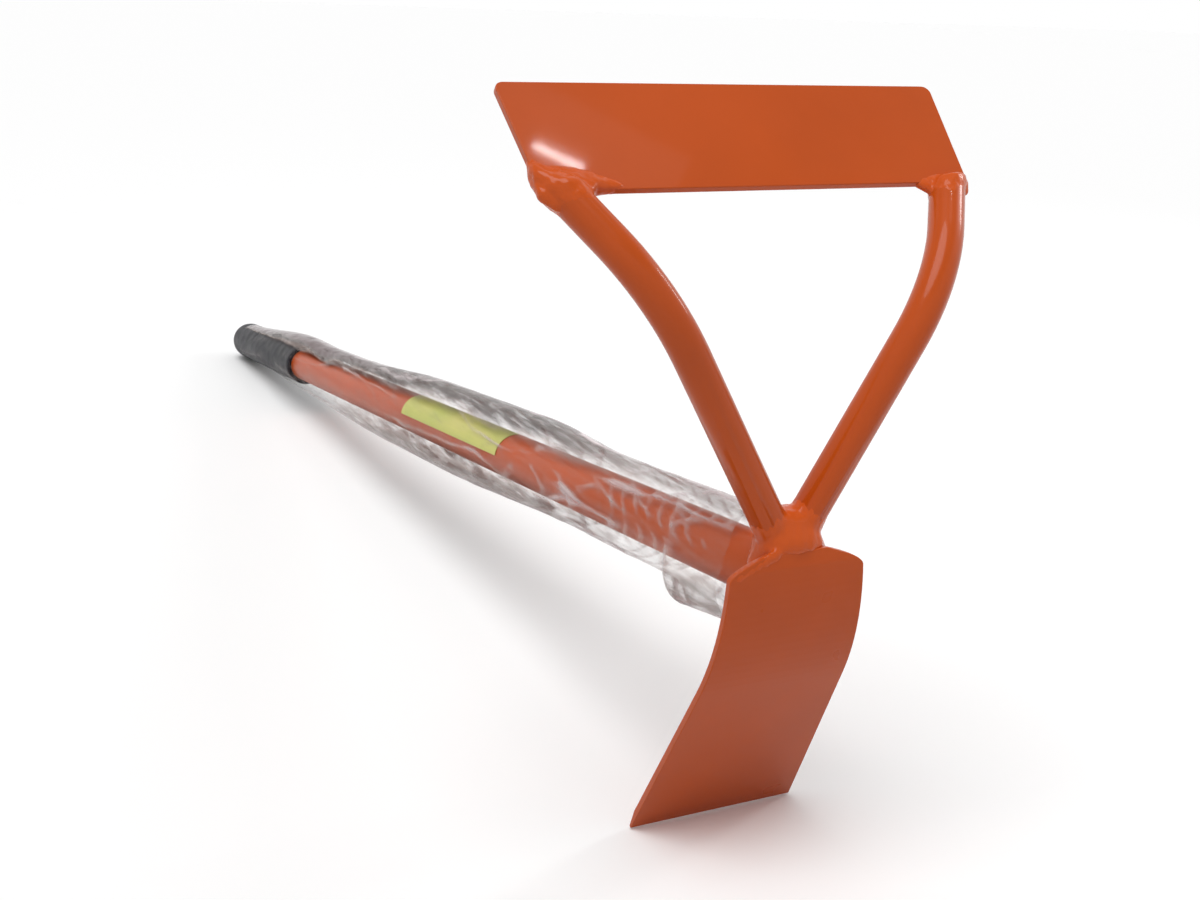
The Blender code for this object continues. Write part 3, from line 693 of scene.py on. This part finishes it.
def film_halves(y):
    """Half sizes of the flattened film tube at y: its flat side, upper crease and lower crease."""
    near_grip = smooth_step((y - (GRIP_START - FILM_TAPER)) / FILM_TAPER)
    flat = FILM_TUBE_SIDE + (FILM_GRIP_SIDE - FILM_TUBE_SIDE) * near_grip
    return flat, max(upper_crease(y), flat), max(lower_crease(y), flat)


def ridge(phase, sharpness=5):
    """A row of crests with broad valleys between them, from 0 to 1."""
    return (0.5 + 0.5 * math.cos(2.0 * math.pi * phase)) ** sharpness


def patch(place, level):
    """Patches from 0 to 1, so that folds come and go."""
    return smooth_step((noise.noise(place) - level) / 0.3)


def crinkle(y, angle):
    """How far the film stands off its smooth shape, and how sharply it is creased there.

    Long folds wander along the handle, slanted folds cross into Vs, and pleats go round it near the mouth.
    """
    around = Vector((math.sin(angle), 0.0, math.cos(angle)))
    place = Vector((around.x, y * 14.0, around.z))
    warp = noise.noise(place * 0.9 + Vector((3.0, 0.0, 1.0)))
    fine_warp = noise.noise(place * 3.1)
    turns = angle / (2.0 * math.pi)
    long_phase = FILM_LONG_FOLDS * turns + 0.7 * warp + 0.12 * fine_warp
    long_fold = ridge(long_phase) * patch(place * 0.8, -0.15)
    long_line = ridge(long_phase, 26) * patch(place * 0.8, -0.15)
    slant_phase = y / FILM_SLANT_SPACING + 0.35 * warp + 0.06 * fine_warp
    slanted = 0.9 * math.sin(angle + 0.7)
    rising = ridge(slant_phase + slanted, 14) * patch(place * 1.1 + Vector((9.0, 2.0, 0.0)), -0.02)
    falling = ridge(slant_phase - slanted + 0.3, 14) * patch(place * 1.2 + Vector((0.0, 5.0, 8.0)), -0.02)
    pleat_phase = y / FILM_PLEAT_SPACING + 0.9 * math.sin(angle - 0.4) + 0.7 * warp + 0.15 * fine_warp
    pleat = ridge(pleat_phase, 4) * patch(place * 1.6 + Vector((1.0, 7.0, 3.0)), -0.1)
    bunched = smooth_step((FILM_BUNCHED_TO - y) / FILM_BUNCHED_FADE)
    loose = smooth_step((FILM_LOOSE_TO - y) / FILM_LOOSE_FADE)
    calm = smooth_step((y - FILM_CALM_FROM) / FILM_CALM_RISE)
    long_size = (0.7 + 0.5 * loose) * (1.0 - 0.7 * calm)
    slants = (0.15 + 0.75 * loose) * (1.0 - 0.7 * calm) * (rising + falling)
    pleats = bunched * pleat
    stand = long_size * long_fold + slants + 0.6 * pleats + 0.2 * loose * fine_warp
    sharp = 0.9 * long_size * long_line + 0.6 * slants + 0.4 * pleats
    return stand * MM, min(sharp, 1.0)


def along_film(y, near, middle, far):
    """A value that is near at the film's mouth, middle half way and far at the grip."""
    value = near + (middle - near) * smooth_step((y - 100.0 * MM) / (220.0 * MM))
    return value + (far - middle) * smooth_step((y - 420.0 * MM) / (280.0 * MM))


def film_point(y, angle, halves):
    """A point of the film's outer face, with its radius, opacity, painted reflection (darkness) and painted
    highlight (whitening).
    """
    flat, upper, lower = halves
    rise = math.cos(angle)
    reach = upper if rise > 0.0 else lower
    smooth = flat + (reach - flat) * abs(rise) ** 3
    stand, sharp = crinkle(y, angle)
    radius = smooth - 0.35 * MM + 0.75 * stand * (1.0 - 0.7 * abs(rise) ** 6)
    turned = angle + FILM_TURN
    edge = smooth_step((FILM_START + 30.0 * MM - y) / (30.0 * MM))
    mouth = 2.2 * MM * noise.noise(Vector((math.sin(angle) * 2.0, math.cos(angle) * 2.0, 5.0))) * edge
    ragged = 0.12 * noise.noise(Vector((3.0 * math.sin(angle), 22.0 * y, 3.0 * math.cos(angle))))
    lift = smooth_step((abs(rise) - 0.66 + ragged) / 0.24)
    tight = smooth_step((y - GRIP_START + 20.0 * MM) / (40.0 * MM))
    clear = along_film(y, *FILM_CLEAR_HAZE) * (1.0 - 0.8 * tight)
    if rise > 0.0:
        band, dark = along_film(y, *FILM_UPPER_HAZE), along_film(y, *FILM_UPPER_PAINTED_REFLECTION)
    else:
        band, dark = along_film(y, *FILM_LOWER_HAZE), FILM_LOWER_PAINTED_REFLECTION
        band += FILM_FLAP_HAZE * smooth_step((FILM_FLAP_END - y) / FILM_FLAP_CORNER)
    # The seam along each crease is hazier and, together with the folds, whitened as a painted highlight
    seam = smooth_step((abs(rise) - 0.985) / 0.01)
    haze = clear + (band - clear) * lift + 0.34 * sharp + 0.25 * seam
    # Painted reflection: the creased bands are darkened, most along the upper crease towards the grip
    painted_reflection = dark * lift
    point = (radius * math.sin(turned), y + mouth, radius * math.cos(turned))
    return point, radius, haze, painted_reflection, min(0.9 * sharp + 0.25 * seam, 1.0)


def film_piece(material):
    rows, sides = 420, 132
    outer, inner = [], []
    # Each point carries opacity, a painted reflection (darkness) and a painted highlight (whitening)
    haze, painted_reflection, crease = [], [], []
    for row in range(rows + 1):
        share = row / rows
        y = FILM_START + (FILM_END - FILM_START) * (0.45 * share + 0.55 * share * share)
        halves = film_halves(y)
        for i in range(sides):
            angle = 2.0 * math.pi * i / sides
            point, radius, milk, dark, white = film_point(y, angle, halves)
            outer.append(point)
            shrink = (radius - FILM_THICKNESS) / radius
            inner.append((point[0] * shrink, point[1], point[2] * shrink))
            haze.append(milk)
            painted_reflection.append(dark)
            crease.append(white)
    total = len(outer)
    faces = []
    for row in range(rows):
        for i in range(sides):
            j = (i + 1) % sides
            a, b = row * sides, (row + 1) * sides
            faces.append((a + i, b + i, b + j, a + j))
            faces.append((total + a + i, total + a + j, total + b + j, total + b + i))
    for base, flip in ((0, False), (rows * sides, True)):
        for i in range(sides):
            j = (i + 1) % sides
            quad = (base + i, base + j, total + base + j, total + base + i)
            faces.append(tuple(reversed(quad)) if flip else quad)
    mesh = mesh_from("film_wrap", outer + inner, faces)
    for name, values in (("haze", haze), ("painted_reflection", painted_reflection), ("crease", crease)):
        mesh.attributes.new(name, "FLOAT", "POINT").data.foreach_set("value", values + values)
    link_piece("film_wrap", mesh, material, ("film_sleeve",))


# The object

paint = paint_material("orange_enamel", PAINT)
# Painted light: the tube under the film carries the same enamel made 2% brighter, against the shade the film
# casts on it
tube_paint = paint_material("enamel_under_film", scaled(PAINT, 1.02), coat=0.03)
# Painted light: the welds carry the same enamel made 16% brighter, for the light and highlights their lumps
# catch
brightened_weld_paint = paint_material("enamel_on_weld", scaled(PAINT, 1.16), rough=(0.2, 0.34), lumps=0.15 * MM)
dressed("narrow_blade", "narrow_blade_plate", paint, PLATE_EDGE_ROUNDING, merge_flat=False)
dressed("wide_blade", "wide_blade_plate", paint, PLATE_EDGE_ROUNDING)
dressed("handle_tube", "painted_tube", tube_paint)
dressed("left_fork_rod", "left_bar", paint)
dressed("right_fork_rod", "right_bar", paint)
dressed("label_strip", "bare_label", sticker_material())
root_weld(brightened_weld_paint)
tube_weld(brightened_weld_paint)
blade_bead("left_bead_metal", -1.0, LEFT_BEAD, 8.1 * MM, brightened_weld_paint, "left_blade_weld", 1.3)
blade_bead("right_bead_metal", 1.0, RIGHT_BEAD, 7.6 * MM, brightened_weld_paint, "right_blade_weld", 5.9)
grip_piece(rubber_material())
film_piece(film_material())


# Stage, camera and light

def plain_floor():
    """A wide pale floor just under the tool, grey to the light and near white to the eye."""
    reach = 40.0
    corners = [(-reach, -reach, 0.0), (reach, -reach, 0.0), (reach, reach, 0.0), (-reach, reach, 0.0)]
    mesh = mesh_from("floor", corners, [(0, 1, 2, 3)], smooth=False)
    material, tree, shader = new_material("pale_floor")
    tree.links.new(seen_colour(tree, FLOOR_LIT, FLOOR_SEEN), shader.inputs["Base Color"])
    shader.inputs["Roughness"].default_value = 0.9
    shader.inputs["Specular IOR Level"].default_value = 0.0
    mesh.materials.append(material)
    floor = bpy.data.objects.new("floor", mesh)
    floor.location = (0.0, 0.0, -0.5 * MM)
    bpy.context.scene.collection.objects.link(floor)


def photo_camera():
    """The camera that took the photograph, as fitted to the tool's outlines in it."""
    data = bpy.data.cameras.new("photo_camera")
    data.sensor_width = CAMERA_SENSOR_MM
    data.lens = CAMERA_FOCAL_MM
    data.clip_start = 0.02
    data.clip_end = 120.0
    level = Vector((math.cos(CAMERA_HEADING), -math.sin(CAMERA_HEADING), 0.0))
    ahead = Vector((level.x * math.tan(CAMERA_HEADING), level.x, math.tan(CAMERA_PITCH))).normalized()
    right = Matrix.Rotation(CAMERA_ROLL, 3, ahead) @ level
    camera = bpy.data.objects.new("photo_camera", data)
    camera.rotation_mode = "QUATERNION"
    camera.rotation_quaternion = Matrix((right, right.cross(ahead), -ahead)).transposed().to_quaternion()
    camera.location = CAMERA_PLACE
    bpy.context.scene.collection.objects.link(camera)
    bpy.context.scene.camera = camera


def link_light(data, place, turn):
    light = bpy.data.objects.new(data.name, data)
    light.location = place
    light.rotation_mode = "QUATERNION"
    light.rotation_quaternion = turn
    bpy.context.scene.collection.objects.link(light)


def area_light(name, place, aim, along, size, power):
    """A rectangular lamp at a place, turned to its aim, with its long side the way that along points."""
    data = bpy.data.lights.new(name, "AREA")
    data.shape = "RECTANGLE"
    data.size, data.size_y = size
    data.energy = power
    back = (Vector(place) - Vector(aim)).normalized()
    side = (Vector(along) - back * back.dot(Vector(along))).normalized()
    link_light(data, place, Matrix((side, back.cross(side), back)).transposed().to_quaternion())


def sun_light(name, towards, strength, angle):
    """A broad soft sun that shines from the direction it stands towards."""
    data = bpy.data.lights.new(name, "SUN")
    data.energy = strength
    data.angle = angle
    link_light(data, Vector(towards) * 2.0, (-Vector(towards)).to_track_quat("-Z", "Y"))


def plain_world():
    """A white backdrop under a grey ceiling, which gives a light that fades from overhead to the horizon."""
    world = bpy.data.worlds.new("studio")
    world.use_nodes = True
    bpy.context.scene.world = world
    tree = world.node_tree
    where = add_node(tree, "ShaderNodeTexCoord")
    split = add_node(tree, "ShaderNodeSeparateXYZ")
    tree.links.new(where.outputs["Generated"], split.inputs["Vector"])
    height = split.outputs["Z"]
    sky = map_range(tree, height, 0.0, 1.0, 0.22, 0.72, smooth=False)
    backdrop = map_range(tree, height, 0.55, 0.8, 1.0, 0.35)
    tree.links.new(seen_colour(tree, sky, backdrop), tree.nodes["Background"].inputs["Color"])


plain_floor()
photo_camera()
plain_world()
sun_light("soft_key", (-0.3, -0.15, 1.0), 1.5, math.radians(40.0))
area_light("small_lamp", (0.805, -0.532, 2.291), GLARE_SPOT, GLARE_RUN, (0.1, 0.008), 0.3)
area_light("wide_lamp", (0.75, -0.56, 2.29), GLARE_SPOT, GLARE_RUN, (0.5, 0.3), 0.35)
area_light("right_lamp", (1.6, -0.3, 1.0), (0.0, -0.45, 0.2), (0.0, 0.0, 1.0), (0.5, 0.2), 4.0)

bpy.context.scene.view_settings.view_transform = "Standard"
